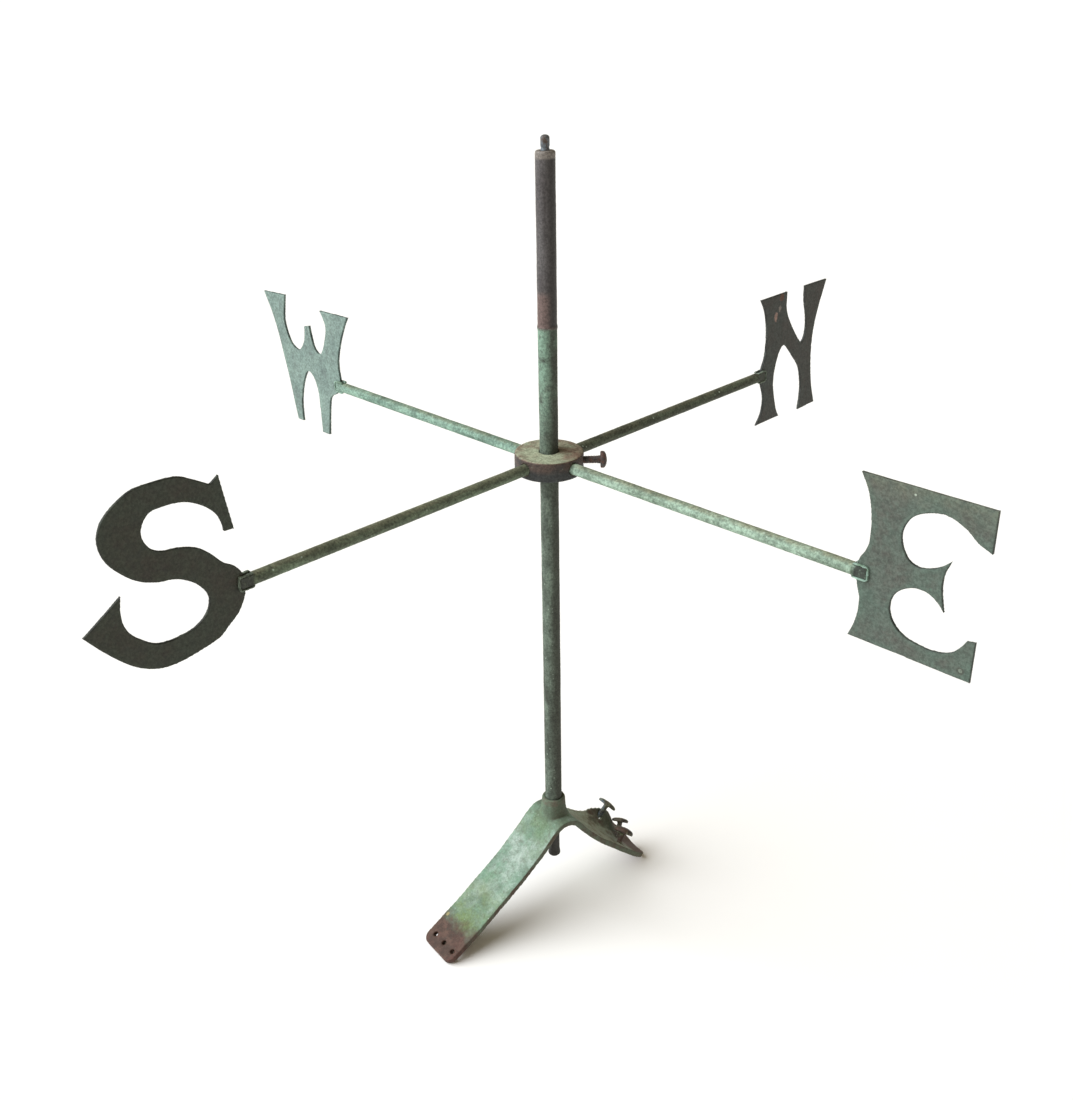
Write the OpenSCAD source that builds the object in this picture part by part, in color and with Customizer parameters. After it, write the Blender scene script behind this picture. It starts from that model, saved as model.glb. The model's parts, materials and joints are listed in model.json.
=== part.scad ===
// Base of a wind vane: a round mast on a forged roof saddle, with a clamped hub that carries
// four arms and the compass letters N, E, S and W. Millimetres, +Z up, +X east, +Y north.
// The origin is on the mast's axis, level with the ends of the saddle's legs.

/* [Mast] */
// Diameter of the mast rod
mast_d = 12.7; // [12.3:0.1:13]
// Height of the mast's shoulder above the saddle's feet
mast_top_z = 572; // [520:0.5:620]
// Length of the bare spindle that a vane's tube slips over
spindle_len = 107; // [60:1:120]
// Diameter of the worn bead below the spindle
bead_d = 13.5; // [13.1:0.1:14]
// Diameter of the hardened pivot pin
pivot_d = 5.7; // [5:0.1:7]
// Height of the pivot pin above the shoulder
pivot_h = 9; // [7:0.5:12]
// Diameter of the mast's reduced tail
tail_d = 8.6; // [7:0.1:10]
// Height of the tail's lower end above the feet
tail_end_z = 39.5; // [34:0.5:48]

/* [Hub] */
// Diameter of the hub
hub_d = 46.5; // [42:0.5:52]
// Thickness of the hub
hub_h = 14; // [12:0.5:16]
// Height of the hub's top face above the feet
hub_top_z = 379; // [300:0.5:420]
// Depth of the blind hole that holds each arm
arm_socket = 10; // [6:1:12]
// Compass angle of the set screw, counted from east towards north
set_screw_angle = 45.5; // [40:0.5:50]
// Diameter of the set screw's shank
set_screw_d = 5.4; // [4:0.1:6]
// Diameter of the set screw's head
set_screw_head_d = 11.4; // [9:0.1:13]
// Distance from the mast's axis to the underside of the set screw's head
set_screw_reach = 34.4; // [30:0.1:40]

/* [Arms and letters] */
// Diameter of each arm
arm_d = 7.8; // [7:0.1:8.5]
// Distance from the mast's axis to the outer end of the east, north and south arms
arm_reach = 243; // [240:0.5:248]
// Distance from the mast's axis to the outer end of the west arm
west_arm_reach = 233; // [230:0.5:238]
// Length of the flattened, slotted end of each arm
paddle_l = 9.5; // [9:0.5:14]
// Height of the flattened end
paddle_h = 7; // [6:0.1:13]
// Thickness of the flattened end
paddle_t = 4.6; // [4:0.1:6]
// Thickness of the letter plates
letter_t = 2; // [1.5:0.1:3]
// Width of the braze metal around each flattened end
braze_w = 1.2; // [1:0.1:2.5]
// How far the braze metal stands proud of the flattened end
braze_rise = 0.4; // [0.2:0.1:1]

/* [Saddle] */
// Angle of the saddle's length, counted from east towards north
saddle_angle = 81; // [70:1:90]
// Width of the saddle's strip
strip_w = 36; // [30:1:40]
// Thickness of the saddle's strip
strip_t = 4.5; // [3.5:0.1:6]
// Height of the boss's top above the feet
boss_top_z = 96; // [92:0.5:100]
// Diameter of the screw holes in the near leg
foot_hole_d = 3.6; // [3:0.1:5.5]
// Spacing of the screw holes in the near leg
foot_hole_pitch = 11.5; // [10:0.5:12]

/* [Roof screws] */
// Diameter of the round heads
screw_head_d = 16; // [12:0.5:17]
// Diameter of the second screw's head, which is worn smaller
screw_2_head_d = 13.6; // [12:0.1:17]
// Height of the round heads
screw_head_h = 3.6; // [3:0.1:6]
// Height of the third screw's head, which is taller
screw_3_head_h = 5; // [3:0.1:6]
// Diameter of the shanks
screw_d = 4.6; // [3.5:0.1:5]
// Length of the first screw's shank, from its stated place to where its point starts
screw_1_len = 11; // [10:1:14]
// Length of the second screw's shank
screw_2_len = 16; // [15:1:18]
// Length of the third screw's shank
screw_3_len = 10; // [9:1:12]

/* [Hidden] */
$fn = 64;

run_gap = 0.06; // radial clearance where one piece turns or slides in another
fixed_gap = 0.01; // radial clearance of pressed and threaded joints
slot_gap = 0.05; // clearance between a plate and its slot
soft_edge = 0.8; // small rounding on turned edges
seat_z = 83; // height of the mast's shoulder inside the boss
pivot_depth = 8; // length of the pivot pin inside the mast
arm_z = hub_top_z - hub_h / 2;
bead_z = mast_top_z - spindle_len;
near_end_x = -110.5; // ends of the saddle's underside along its length
far_end_x = 82.5;
near_bend = [-80, 18]; // where the straight ends of the legs start to curve
far_bend = [32, 45];
near_rise = near_bend[1] / (near_bend[0] - near_end_x); // slopes of the straight ends
far_rise = far_bend[1] / (far_end_x - far_bend[0]);
foot_hole_x = -103; // distance of the near leg's holes from the mast's axis
half_w = strip_w / 2;
boss_cut_gap = 0.6; // keeps the boss above the strip's underside
braze_start = 0.5; // distance from the start of an arm's flattened end to its braze and rod end
slot_start = 1; // distance from the start of an arm's flattened end to its slot
set_screw_head_h = 4.3;
set_screw_driver = [1.4, 1.6]; // width and depth of the driver slots
roof_screw_driver = [1.8, 1.4];
head_place = screw_head_h / 2; // height of a roof screw's stated place above its head's underside
screw_point = 4; // length of the roof screws' points

bronze = [0.42, 0.47, 0.38];
verdigris = [0.56, 0.68, 0.58];
braze_metal = [0.55, 0.72, 0.62];
dark_bronze = [0.33, 0.32, 0.29];
old_steel = [0.40, 0.41, 0.42];
rusty = [0.40, 0.28, 0.24];

// Letter outlines: distance from the mast's axis, height above the arm, and 1 where the edge
// runs through the point in a smooth curve or 0 where it turns a corner.
letter_e_edge = [
    [233, 57.5, 0], [310, 58, 0], [310, 34, 0], [302, 37.5, 1], [294, 43.5, 1], [284, 47, 1],
    [274, 45.5, 1], [265, 40.5, 1], [260.5, 31.5, 1], [261.5, 22.5, 1], [266.5, 15.5, 1],
    [274, 14, 1], [283, 17.5, 1], [289.5, 23, 0], [286.5, 14, 1], [286.5, 5, 1], [289, -7, 0],
    [282, -0.5, 1], [274.5, 1.5, 1], [267, -0.5, 1], [260.5, -6, 1], [258, -14, 1],
    [260.5, -22.5, 1], [267, -28.5, 1], [276, -31, 1], [286, -31.5, 1], [295, -29, 1],
    [300.5, -23.5, 1], [303.5, -18.5, 0], [308.5, -17.5, 0], [308.5, -42, 0], [234.5, -41, 0],
    [238, -31, 1], [239.5, -18, 1], [236.5, -6, 1], [236.5, 6, 1], [240.5, 14, 1],
    [242, 22, 1], [241, 36, 1], [238, 48, 1]];
letter_n_edge = [
    [233.5, 62, 0], [267.5, 62.5, 0], [268.5, 48.5, 1], [276, 35, 1], [290, 18, 1],
    [294.5, 17, 1], [297.5, 24, 1], [297, 36, 1], [293, 50, 1], [292, 62.5, 0],
    [322.5, 62.5, 0], [313.5, 40, 1], [308.5, 20, 1], [308.5, 0, 1], [312, -22, 1],
    [318.5, -41, 0], [295.5, -42, 0], [297, -29, 1], [295.5, -16, 1], [291, -3.5, 1],
    [281, 8, 1], [271.5, 17.5, 1], [266.5, 19, 1], [262, 14.5, 1], [258, 4, 1],
    [256.5, -7.5, 1], [258.5, -19, 1], [263, -33, 1], [267.5, -40, 0], [236.5, -40.5, 0],
    [243, -31, 1], [244, -19, 1], [240.5, -9, 1], [238, -3, 1], [239, 5, 1], [243, 15, 1],
    [244, 30, 1], [242, 44, 1], [238.5, 54, 1]];
letter_w_edge = [
    [322, 61, 0], [293, 62.5, 0], [295.5, 52, 1], [297, 40, 1], [293, 27.5, 1],
    [287.5, 21.5, 1], [280, 20, 1], [273.5, 26.5, 1], [271, 33, 1], [270, 41, 0],
    [263.5, 42.5, 0], [262, 34.5, 1], [259, 25.5, 1], [253, 21.5, 1], [248.5, 25.5, 1],
    [244.5, 34, 1], [241.5, 44.5, 1], [243.5, 51.5, 1], [247.5, 57.5, 0], [212, 58.5, 0],
    [219, 47, 1], [225.5, 32, 1], [229, 18, 1], [228, 4, 1], [233, -6, 1], [242, -11.5, 1],
    [245.5, -23, 1], [249, -45, 0], [258.5, -45, 0], [258.5, -24, 1], [259, -12, 1],
    [263, -0.5, 1], [270.5, 4, 1], [277, -4.5, 1], [281.5, -16, 1], [284, -27, 1],
    [284, -41.5, 0], [291.5, -41.5, 0], [294.5, -27.5, 1], [298, -9.5, 1], [303, 11.5, 1],
    [307, 27, 1], [313.5, 45, 1]];
letter_s_edge = [
    [246.5, 65.5, 0], [252, 62, 0], [262, 68, 1], [271, 72, 1], [289, 73, 1], [298, 71.5, 1],
    [307, 66.5, 1], [314, 60, 1], [317.5, 50, 1], [314.5, 38.5, 1], [306, 28, 1],
    [298, 22, 1], [289, 18.5, 1], [280.5, 17, 1], [274, 14, 1], [267, 8.5, 1], [262, 0, 1],
    [264, -8.5, 1], [271.5, -14.5, 1], [282, -16.5, 1], [294.5, -15.5, 1], [304, -9, 1],
    [310, -1.5, 1], [312, 8, 1], [310.5, 18.5, 0], [333.5, 3.5, 0], [325, -7.5, 1],
    [315, -18.5, 1], [306.5, -25.5, 1], [297, -30, 1], [286.5, -31.5, 1], [273, -30, 1],
    [259.5, -27, 1], [252.5, -22, 1], [245, -16, 1], [240, -7, 1], [239.5, 4, 1],
    [244, 11.5, 1], [250.5, 16, 1], [257.5, 24, 1], [265, 30, 1], [275, 33.5, 1],
    [284.5, 35, 1], [291, 39.5, 1], [294, 48, 1], [289.5, 56.5, 1], [281.5, 58.5, 1],
    [268.5, 57, 1], [258.5, 52, 1], [251.5, 45.5, 1], [248.5, 39.5, 1], [247.5, 33.5, 0],
    [241.5, 33, 0]];

// Underside of the saddle's strip along its length: distance, height, 1 where it curves
strip_run = [
    [near_end_x, 0, 0], [near_bend[0], near_bend[1], 0], [-59, 32.5, 1], [-37, 48, 1],
    [-20, 62.5, 1], [-8, 74, 1], [-1, 76.5, 1], [7, 74, 1], [14, 65.5, 1], [20.5, 57.5, 1],
    [far_bend[0], far_bend[1], 0], [far_end_x, 0, 0]];

// How much the strip's east and west edges are cut back near its rounded ends
near_cut = [[0, 5], [1.5, 2], [4, 0.4], [7.5, 0]];
far_cut_east = [[0, 9.5], [0.8, 8], [2, 7], [4.5, 5], [8.5, 3], [12.5, 1.2], [17, 0]];
far_cut_west = [[0, 10], [0.8, 8], [2, 6], [4.5, 3.5], [8.5, 1], [12, 0]];
// How far the far leg's west edge is curled up along the strip
curl_up = [[16, 0], [26, 4], [40, 8.5], [46, 14], [56, 18.5], [62, 20.5], [66, 19], [69, 12.5],
           [72, 10.5], [83, 8]];
// Share of that curl across the strip, from its east edge to its west edge
curl_share = [[0, 0], [6, 0.12], [12, 0.55], [half_w, 1]];

// Roof screws in the saddle's frame: a place inside the head, then the direction it points to
screw_1_head = [65.7, 14.5, 48];
screw_1_lean = [0.75, 0, 0.66];
screw_2_head = [72.9, 6.8, 32.8];
screw_2_lean = [0.5, 0.38, 0.75];
screw_3_head = [64.2, -8.1, 34.9];
screw_3_lean = [0.66, 0.23, 0.72];

// Point on the curve from a to b with end tangents ta and tb
function hermite(a, b, ta, tb, s) =
    a * (2 * s * s * s - 3 * s * s + 1) + ta * (s * s * s - 2 * s * s + s)
    + b * (3 * s * s - 2 * s * s * s) + tb * (s * s * s - s * s);
function xy(p) = [p[0], p[1]];
function tangent(before, here, after, chord) = here[2] == 1 ? (xy(after) - xy(before)) / 2 : chord;
function span(p0, p1, p2, p3, steps) =
    p1[2] == 0 && p2[2] == 0
        ? [xy(p1)]
        : let (chord = xy(p2) - xy(p1),
               ta = tangent(p0, p1, p2, chord),
               tb = tangent(p1, p2, p3, chord))
          [for (i = [0 : steps - 1]) hermite(xy(p1), xy(p2), ta, tb, i / steps)];
// Closed outline through the points of a letter's edge
function closed_curve(pts, steps = 4) =
    let (n = len(pts))
    [for (i = [0 : n - 1])
        each span(pts[(i + n - 1) % n], pts[i], pts[(i + 1) % n], pts[(i + 2) % n], steps)];
// Open curve through the points of a run
function open_curve(pts, steps = 3) =
    let (n = len(pts))
    concat(
        [for (i = [0 : n - 2])
            each span(pts[max(i - 1, 0)], pts[i], pts[i + 1], pts[min(i + 2, n - 1)], steps)],
        [xy(pts[n - 1])]);

// Turns a shape's +Z towards a direction
module aim(direction) {
    flat = norm([direction[0], direction[1]]);
    rotate([0, atan2(flat, direction[2]), atan2(direction[1], direction[0])]) children();
}

// Places a shape that is drawn along +X at a compass angle at arm height
module along_arm(angle) {
    translate([0, 0, arm_z]) rotate([0, 0, angle]) children();
}

// ---- Saddle ----

function strip_stations() =
    let (run = open_curve(strip_run),
         near_end = [for (d = [1.5, 4, 7.5]) [near_end_x + d, d * near_rise]],
         far_end = [for (d = [42.5, 35.5, 31, 26.5, 20.5, 16.5, 13.5, 10.5, 8, 6, 4, 2, 0.8])
             [far_end_x - d, d * far_rise]],
         middle = [for (i = [1 : len(run) - 2]) run[i]])
    concat([run[0]], near_end, middle, far_end, [run[len(run) - 1]]);
function strip_normal(pts, i) =
    let (a = pts[max(i - 1, 0)], b = pts[min(i + 1, len(pts) - 1)], d = (b - a) / norm(b - a))
    [-d[1], d[0]];
// Across the strip: -1 at the east edge, +1 at the west edge
strip_across = [-1, -0.5, 0, 0.35, 0.7, 1];
function strip_y(x, s) =
    s * (half_w - lookup(x - near_end_x, near_cut)
         - lookup(far_end_x - x, s < 0 ? far_cut_east : far_cut_west));
function strip_lift(x, y) = lookup(x, curl_up) * lookup(y, curl_share);
function strip_ring(pts, i) =
    let (p = pts[i], up = strip_normal(pts, i) * strip_t)
    concat(
        [for (s = strip_across)
            let (y = strip_y(p[0], s))
            [p[0], y, p[1] + strip_lift(p[0], y)]],
        [for (j = [len(strip_across) - 1 : -1 : 0])
            let (y = strip_y(p[0], strip_across[j]))
            [p[0] + up[0], y, p[1] + up[1] + strip_lift(p[0], y)]]);

module strip() {
    pts = strip_stations();
    n = len(pts);
    m = 2 * len(strip_across);
    points = [for (i = [0 : n - 1]) each strip_ring(pts, i)];
    sides = [for (i = [0 : n - 2], j = [0 : m - 1])
        each [[i * m + j, (i + 1) * m + j, (i + 1) * m + (j + 1) % m],
              [i * m + j, (i + 1) * m + (j + 1) % m, i * m + (j + 1) % m]]];
    near_cap = [for (j = [0 : m / 2 - 2])
        each [[j, j + 1, m - 2 - j], [j, m - 2 - j, m - 1 - j]]];
    last = (n - 1) * m;
    far_cap = [for (j = [0 : m / 2 - 2])
        each [[last + j, last + m - 2 - j, last + j + 1],
              [last + j, last + m - 1 - j, last + m - 2 - j]]];
    polyhedron(points = points, faces = concat(sides, near_cap, far_cap), convexity = 6);
}

module boss() {
    difference() {
        rotate_extrude()
            polygon([[0, 68.5], [16, 68.5], [12.8, 75.5], [10.8, 80.5], [9.7, 84.5], [9.3, 89.5],
                     [8.9, boss_top_z - 1.2], [8.1, boss_top_z], [0, boss_top_z]]);
        translate([0, 60, boss_cut_gap])
            rotate([90, 0, 0])
                linear_extrude(height = 120)
                    polygon(concat(open_curve(strip_run), [[far_end_x, -5], [near_end_x, -5]]));
    }
}

// Axis of a screw hole in the near leg, in the saddle's frame
module at_foot_hole(index) {
    translate([foot_hole_x, (index - 1) * foot_hole_pitch - 1,
               (foot_hole_x - near_end_x) * near_rise])
        rotate([0, -atan(near_rise), 0])
            children();
}

module at_roof_screw(head, lean) {
    translate(head) aim(lean) children();
}

module saddle() {
    color(verdigris)
        rotate([0, 0, saddle_angle])
            difference() {
                union() {
                    strip();
                    boss();
                }
                translate([0, 0, seat_z]) cylinder(d = mast_d + 2 * fixed_gap, h = 40);
                translate([0, 0, 50]) cylinder(d = tail_d + 2 * fixed_gap, h = 40);
                for (i = [0 : 2])
                    at_foot_hole(i) cylinder(d = foot_hole_d, h = 30, center = true);
                for (s = [[screw_1_head, screw_1_lean], [screw_2_head, screw_2_lean],
                          [screw_3_head, screw_3_lean]])
                    at_roof_screw(s[0], s[1])
                        translate([0, 0, -30]) cylinder(d = screw_d + 2 * run_gap, h = 30);
            }
}

// ---- Mast ----

module mast() {
    r = mast_d / 2;
    tail_r = tail_d / 2;
    color(bronze)
        difference() {
            rotate_extrude()
                polygon(concat(
                    [[0, tail_end_z]],
                    [for (a = [-80 : 20 : 0])
                        [tail_r - 1.2 + 1.8 * cos(a), tail_end_z + 2 + 2 * sin(a)]],
                    [[tail_r, tail_end_z + 6], [tail_r, seat_z], [r, seat_z],
                     [r, bead_z - 3], [bead_d / 2, bead_z - 2], [bead_d / 2, bead_z - 0.8],
                     [r, bead_z], [r, mast_top_z - soft_edge], [r - soft_edge, mast_top_z],
                     [0, mast_top_z]]));
            translate([0, 0, mast_top_z - pivot_depth])
                cylinder(d = pivot_d + 2 * fixed_gap, h = pivot_depth + 1);
        }
}

module pivot_pin() {
    r = pivot_d / 2;
    tip_z = mast_top_z + pivot_h;
    color(old_steel)
        rotate_extrude()
            polygon(concat(
                [[0, mast_top_z - pivot_depth], [r, mast_top_z - pivot_depth],
                 [r, mast_top_z + 0.5], [r - 0.3, mast_top_z + 1], [r - 0.3, mast_top_z + 2],
                 [r, mast_top_z + 2.5]],
                [for (a = [0 : 15 : 75]) [r * cos(a), tip_z - 2 + 2 * sin(a)]],
                [[0, tip_z]]));
}

// ---- Hub and set screw ----

module hub() {
    r = hub_d / 2;
    color(dark_bronze)
        difference() {
            translate([0, 0, hub_top_z - hub_h])
                rotate_extrude()
                    polygon([[0, 0], [r - soft_edge, 0], [r, soft_edge], [r, hub_h - soft_edge],
                             [r - soft_edge, hub_h], [0, hub_h]]);
            translate([0, 0, hub_top_z - hub_h - 1])
                cylinder(d = mast_d + 2 * run_gap, h = hub_h + 2);
            for (angle = [0 : 90 : 270])
                along_arm(angle)
                    translate([r - arm_socket, 0, 0])
                        rotate([0, 90, 0])
                            cylinder(d = arm_d + 2 * fixed_gap, h = arm_socket + 5);
            along_arm(set_screw_angle)
                rotate([0, 90, 0])
                    cylinder(d = set_screw_d + 2 * run_gap, h = r + 5);
        }
}

// Round head with a driver slot, drawn on +Z with its underside at z = 0
module round_head(d, h, driver) {
    rim = h * 0.4;
    difference() {
        rotate_extrude()
            polygon(concat(
                [[0, 0], [d / 2 - 0.4, 0], [d / 2, 0.4]],
                [for (a = [0 : 15 : 75]) [d / 2 * cos(a), rim + (h - rim) * sin(a)]],
                [[0, h]]));
        translate([-d, -driver[0] / 2, h - driver[1]]) cube([2 * d, driver[0], h]);
    }
}

module set_screw() {
    tip = mast_d / 2 + 0.1;
    color(rusty)
        along_arm(set_screw_angle)
            rotate([0, 90, 0]) {
                translate([0, 0, tip]) cylinder(d = set_screw_d, h = set_screw_reach - tip + 0.5);
                translate([0, 0, set_screw_reach])
                    round_head(set_screw_head_d, set_screw_head_h, set_screw_driver);
            }
}

// ---- Arms, braze and letters ----

module arm(angle, reach) {
    paddle_start = reach - paddle_l;
    color(verdigris)
        along_arm(angle)
            difference() {
                union() {
                    translate([hub_d / 2 - arm_socket, 0, 0])
                        rotate([0, 90, 0])
                            cylinder(d = arm_d,
                                     h = paddle_start - hub_d / 2 + arm_socket + braze_start);
                    translate([paddle_start, -paddle_t / 2, -paddle_h / 2])
                        cube([paddle_l, paddle_t, paddle_h]);
                }
                // slot for the letter's plate
                translate([paddle_start + slot_start, -letter_t / 2 - slot_gap, -paddle_h])
                    cube([2 * paddle_l, letter_t + 2 * slot_gap, 2 * paddle_h]);
            }
}

// Rim of braze metal around three sides of an arm's flattened end
module braze(angle, reach) {
    start = reach - paddle_l + braze_start;
    length = paddle_l - braze_start + braze_w;
    height = paddle_h + 2 * braze_w;
    thickness = paddle_t + 2 * braze_rise;
    color(braze_metal)
        along_arm(angle)
            difference() {
                translate([start, 0, 0])
                    rotate([90, 0, 0])
                        linear_extrude(height = thickness, center = true)
                            polygon([[0, -height / 2 + 1], [1, -height / 2],
                                     [length - 1.5, -height / 2], [length, -height / 2 + 1.5],
                                     [length, height / 2 - 1.5], [length - 1.5, height / 2],
                                     [1, height / 2], [0, height / 2 - 1]]);
                translate([start - 1, -paddle_t / 2 - 1, -paddle_h / 2 - slot_gap])
                    cube([paddle_l - braze_start + 1 + slot_gap, paddle_t + 2, paddle_h + 2 * slot_gap]);
                translate([start + slot_start - braze_start, -letter_t / 2 - slot_gap, -height])
                    cube([2 * paddle_l, letter_t + 2 * slot_gap, 2 * height]);
            }
}

module letter(angle, edge) {
    color(bronze)
        along_arm(angle)
            rotate([90, 0, 0])
                linear_extrude(height = letter_t, center = true)
                    polygon(closed_curve(edge));
}

// ---- Roof screws ----

module roof_screw(head, lean, head_d, head_h, length) {
    color(bronze)
        rotate([0, 0, saddle_angle])
            at_roof_screw(head, lean)
                rotate([0, 0, 90]) {
                    translate([0, 0, -head_place]) round_head(head_d, head_h, roof_screw_driver);
                    translate([0, 0, -length]) cylinder(d = screw_d, h = length);
                    translate([0, 0, -length - screw_point])
                        cylinder(d1 = 1, d2 = screw_d, h = screw_point);
                }
}

saddle();
mast();
pivot_pin();
hub();
set_screw();
arm(90, arm_reach);  // arm_north
arm(0, arm_reach);  // arm_east
arm(270, arm_reach);  // arm_south
arm(180, west_arm_reach);  // arm_west
letter(90, letter_n_edge);  // letter_n
letter(0, letter_e_edge);  // letter_e
letter(270, letter_s_edge);  // letter_s
letter(180, letter_w_edge);  // letter_w
braze(90, arm_reach);  // braze_north
braze(0, arm_reach);  // braze_east
braze(270, arm_reach);  // braze_south
braze(180, west_arm_reach);  // braze_west
roof_screw(screw_1_head, screw_1_lean, screw_head_d, screw_head_h, screw_1_len);  // roof_screw_1
roof_screw(screw_2_head, screw_2_lean, screw_2_head_d, screw_head_h, screw_2_len);  // roof_screw_2
roof_screw(screw_3_head, screw_3_lean, screw_head_d, screw_3_head_h, screw_3_len);  // roof_screw_3
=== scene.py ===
"""Finished look of the wind vane's base: aged bronze under verdigris, worn edges, threads and braze."""

import json
import math

import bmesh
import bpy
from mathutils import Matrix, Vector, kdtree, noise


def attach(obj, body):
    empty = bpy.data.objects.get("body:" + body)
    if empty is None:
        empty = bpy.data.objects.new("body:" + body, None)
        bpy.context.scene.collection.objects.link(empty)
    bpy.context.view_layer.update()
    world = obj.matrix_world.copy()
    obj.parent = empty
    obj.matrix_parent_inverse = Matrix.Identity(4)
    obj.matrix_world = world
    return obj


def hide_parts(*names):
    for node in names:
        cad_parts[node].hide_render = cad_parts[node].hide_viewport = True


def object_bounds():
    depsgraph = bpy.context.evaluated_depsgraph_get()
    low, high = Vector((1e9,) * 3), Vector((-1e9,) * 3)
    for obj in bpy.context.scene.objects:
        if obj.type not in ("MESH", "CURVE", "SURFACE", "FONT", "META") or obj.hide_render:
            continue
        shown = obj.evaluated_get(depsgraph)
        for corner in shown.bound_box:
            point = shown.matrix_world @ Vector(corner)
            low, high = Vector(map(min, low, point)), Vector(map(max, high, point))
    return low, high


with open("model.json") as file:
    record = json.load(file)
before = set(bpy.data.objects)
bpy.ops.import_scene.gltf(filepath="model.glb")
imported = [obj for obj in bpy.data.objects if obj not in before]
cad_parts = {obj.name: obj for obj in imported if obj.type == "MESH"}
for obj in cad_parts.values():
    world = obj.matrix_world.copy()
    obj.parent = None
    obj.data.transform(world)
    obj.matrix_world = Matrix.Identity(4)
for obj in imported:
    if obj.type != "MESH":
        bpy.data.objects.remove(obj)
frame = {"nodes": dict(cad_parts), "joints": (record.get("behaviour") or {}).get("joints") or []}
cad_low, cad_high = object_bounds()

MM = 0.001

# Places on the part, in metres
SADDLE_ANGLE = math.radians(81)
SADDLE_RUN = (math.cos(SADDLE_ANGLE), math.sin(SADDLE_ANGLE), 0)
HUB_MIDDLE = 0.372
BEAD_HEIGHT = 0.465
PADDLE_START = 0.2335
WEST_PADDLE_START = 0.2235
NEAR_END_CHIP = (-0.0291, -0.087, 0.016)
E_DOT = (0.2653, -0.001, 0.4255)
E_MARK = (0.3027, -0.001, 0.3354)
N_SCRATCHES = ((0.001, 0.2539, 0.4171), (0.001, 0.2586, 0.4225))
N_PATCH = (0.001, 0.2602, 0.4317)

# Screws, in metres
SET_SCREW_ANGLE = math.radians(45.5)
SET_SCREW_END = 0.0075  # from the mast's axis to the start of the thread
SET_SCREW_THREAD = 0.0255
SET_SCREW_RADIUS = 0.0027
SET_SCREW_PITCH = 1.06 * MM
ROOF_SCREW_POINT = 0.004
ROOF_SCREW_RADIUS = 0.0023
ROOF_SCREW_PITCH = 1.6 * MM
ROOF_HEAD_SLICE = 2.4 * MM  # top slice of a head, for finding its centre
ROOF_HEAD_RIM = 4 * MM  # further from the axis than any shank
THREAD_DEPTH = 0.4 * MM

# Camera, in metres, millimetres and degrees
CAMERA_PLACE = (0.5436, -0.5519, 0.6848)
CAMERA_HEADING = 45.276
CAMERA_DOWN = 26.1
CAMERA_ROLL = -1.069
FOCAL_LENGTH = 40.724


# ---- Shader node helpers ----


def paint(red, green, blue):
    """Linear colour from display values of 0 to 255."""
    shares = [c / 255 for c in (red, green, blue)]
    linear = [s / 12.92 if s <= 0.04045 else ((s + 0.055) / 1.055) ** 2.4 for s in shares]
    return (*linear, 1.0)


def darker(tone, share):
    """The tone at a share of its brightness."""
    return tuple(share * c for c in tone[:3]) + (1.0,)


class Bench:
    """Puts shader nodes into one tree and joins them."""

    def __init__(self, tree):
        self.tree = tree

    def put(self, kind, sockets=None, **settings):
        node = self.tree.nodes.new(kind)
        for name, value in settings.items():
            setattr(node, name, value)
        for name, value in (sockets or {}).items():
            self.feed(node.inputs[name], value)
        return node

    def feed(self, socket, value):
        if isinstance(value, bpy.types.NodeSocket):
            self.tree.links.new(value, socket)
        else:
            socket.default_value = value

    def maths(self, operation, first, second=0.0, third=0.0, clamp=False):
        values = {0: first, 1: second, 2: third}
        node = self.put("ShaderNodeMath", values, operation=operation, use_clamp=clamp)
        return node.outputs[0]

    def fade(self, value, low, high):
        """0 below low, 1 above high, and a smooth change between."""
        sockets = {"Value": value, "From Min": low, "From Max": high}
        node = self.put("ShaderNodeMapRange", sockets, interpolation_type="SMOOTHSTEP")
        return node.outputs["Result"]

    def noise(self, vector, scale, detail=4.0, roughness=0.55):
        sockets = {"Vector": vector, "Scale": scale, "Detail": detail, "Roughness": roughness}
        return self.put("ShaderNodeTexNoise", sockets).outputs["Fac"]

    def mix(self, share, under, over):
        node = self.put("ShaderNodeMix", data_type="RGBA")
        self.feed(node.inputs[0], share)
        self.feed(node.inputs[6], under)
        self.feed(node.inputs[7], over)
        return node.outputs[2]

    def lean(self, share, under, over):
        """A number that goes from under to over."""
        node = self.put("ShaderNodeMix", data_type="FLOAT")
        self.feed(node.inputs[0], share)
        self.feed(node.inputs[2], under)
        self.feed(node.inputs[3], over)
        return node.outputs[0]


def shader_group(name, inputs, outputs):
    """An empty shader node group with named sockets: its bench, inputs and outputs."""
    tree = bpy.data.node_groups.new(name, "ShaderNodeTree")
    for label, kind, value in inputs:
        socket = tree.interface.new_socket(label, in_out="INPUT", socket_type=kind)
        socket.default_value = value
    for label in outputs:
        tree.interface.new_socket(label, in_out="OUTPUT", socket_type="NodeSocketFloat")
    start = tree.nodes.new("NodeGroupInput")
    end = tree.nodes.new("NodeGroupOutput")
    return Bench(tree), start.outputs, end.inputs


VECTOR = "NodeSocketVector"
FLOAT = "NodeSocketFloat"
ORIGIN = (0.0, 0.0, 0.0)
UP = (0.0, 0.0, 1.0)


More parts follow.
